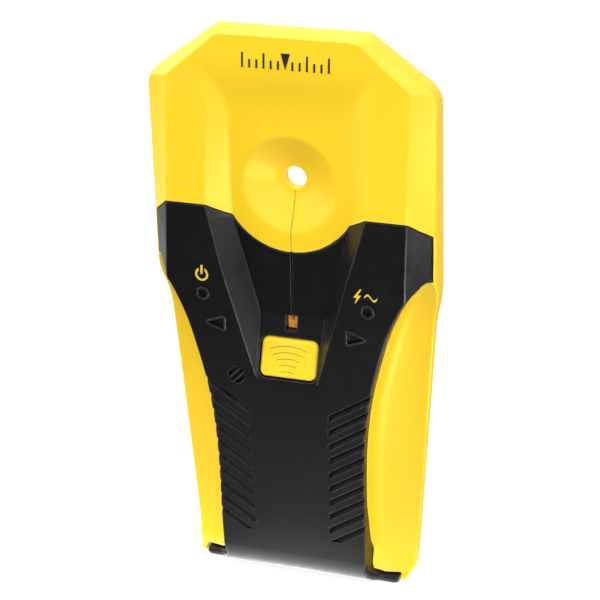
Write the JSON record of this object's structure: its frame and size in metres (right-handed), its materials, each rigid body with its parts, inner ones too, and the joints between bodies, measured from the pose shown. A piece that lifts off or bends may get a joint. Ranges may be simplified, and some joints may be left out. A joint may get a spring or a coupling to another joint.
{
  "type": "stud finder",
  "caption": "Handheld electronic stud finder with an octagonal sensing head, marking hole in a dish, thumb scan button, indicator lights, finger scoops, ribbed grip and hinged battery door.",
  "frame": {"origin": "axis of the marking hole, in the flat wall face at the back of the head", "axes": "+Z along the tool from the grip to the head, +Y out of the back towards the wall, +X to the right of someone facing the buttons"},
  "size_m": [0.093, 0.0171, 0.1826],
  "materials": {
    "yellow_shell": "satin",
    "black_shell": "fine moulded grain",
    "black_plate": "fine moulded grain",
    "yellow_button": "satin",
    "white_plastic": "satin",
    "dark_plastic": "satin",
    "smoke_lens": "polished",
    "amber_lens": "polished",
    "board": "solder mask",
    "led_green": "clear",
    "led_red": "clear",
    "led_amber": "clear",
    "tin": "tinned",
    "ceramic": "fired",
    "copper": "etched",
    "cell_steel": "plated",
    "cell_print": "printed",
    "spring_steel": "nickel plated",
    "wire_red": "extruded",
    "wire_black": "extruded",
    "screw_steel": "zinc plated",
    "yellow_print": "printed",
    "black_print": "printed"
  },
  "bodies": {
    "housing": {"front_shell": "yellow_shell", "front_cover": "black_shell", "back_shell": "black_plate", "switch_body": "dark_plastic", "power_lens": "smoke_lens", "ac_lens": "smoke_lens", "left_arrow_lens": "smoke_lens", "right_arrow_lens": "smoke_lens", "centre_lens": "amber_lens", "circuit_board": "board", "power_led": "led_green", "ac_led": "led_red", "arrow_leds": "led_red", "centre_led": "led_amber", "buzzer": "dark_plastic", "microcontroller": "dark_plastic", "chip_pins": "tin", "surface_parts": "ceramic", "sensor_plates": "copper", "cell_cans": "cell_steel", "cell_sleeves": "cell_print", "contact_negative": "spring_steel", "contact_positive": "spring_steel", "contact_bridge": "spring_steel", "red_wire": "wire_red", "black_wire": "wire_black", "case_screws": "screw_steel", "symbols": "yellow_print", "head_scale": "black_print"},
    "button": {"scan_button": "yellow_button"},
    "plunger": {"switch_plunger": "white_plastic"},
    "door": {"battery_door": "black_plate"}
  },
  "joints": [
    {"name": "scan_press", "type": "slide", "parent": "housing", "child": "button", "axis": [0, 1, 0], "range_m": [0, 0.0008]},
    {"name": "plunger_press", "type": "slide", "parent": "housing", "child": "plunger", "axis": [0, 1, 0], "range_m": [0, 0.0008]},
    {"name": "door_swing", "type": "hinge", "parent": "housing", "child": "door", "pos_m": [0, -0.0014, -0.0724], "axis": [1, 0, 0], "range_deg": [0, 80]}
  ],
  "couplings": [
    {"joint": "plunger_press", "follows": "scan_press", "ratio": 1}
  ]
}
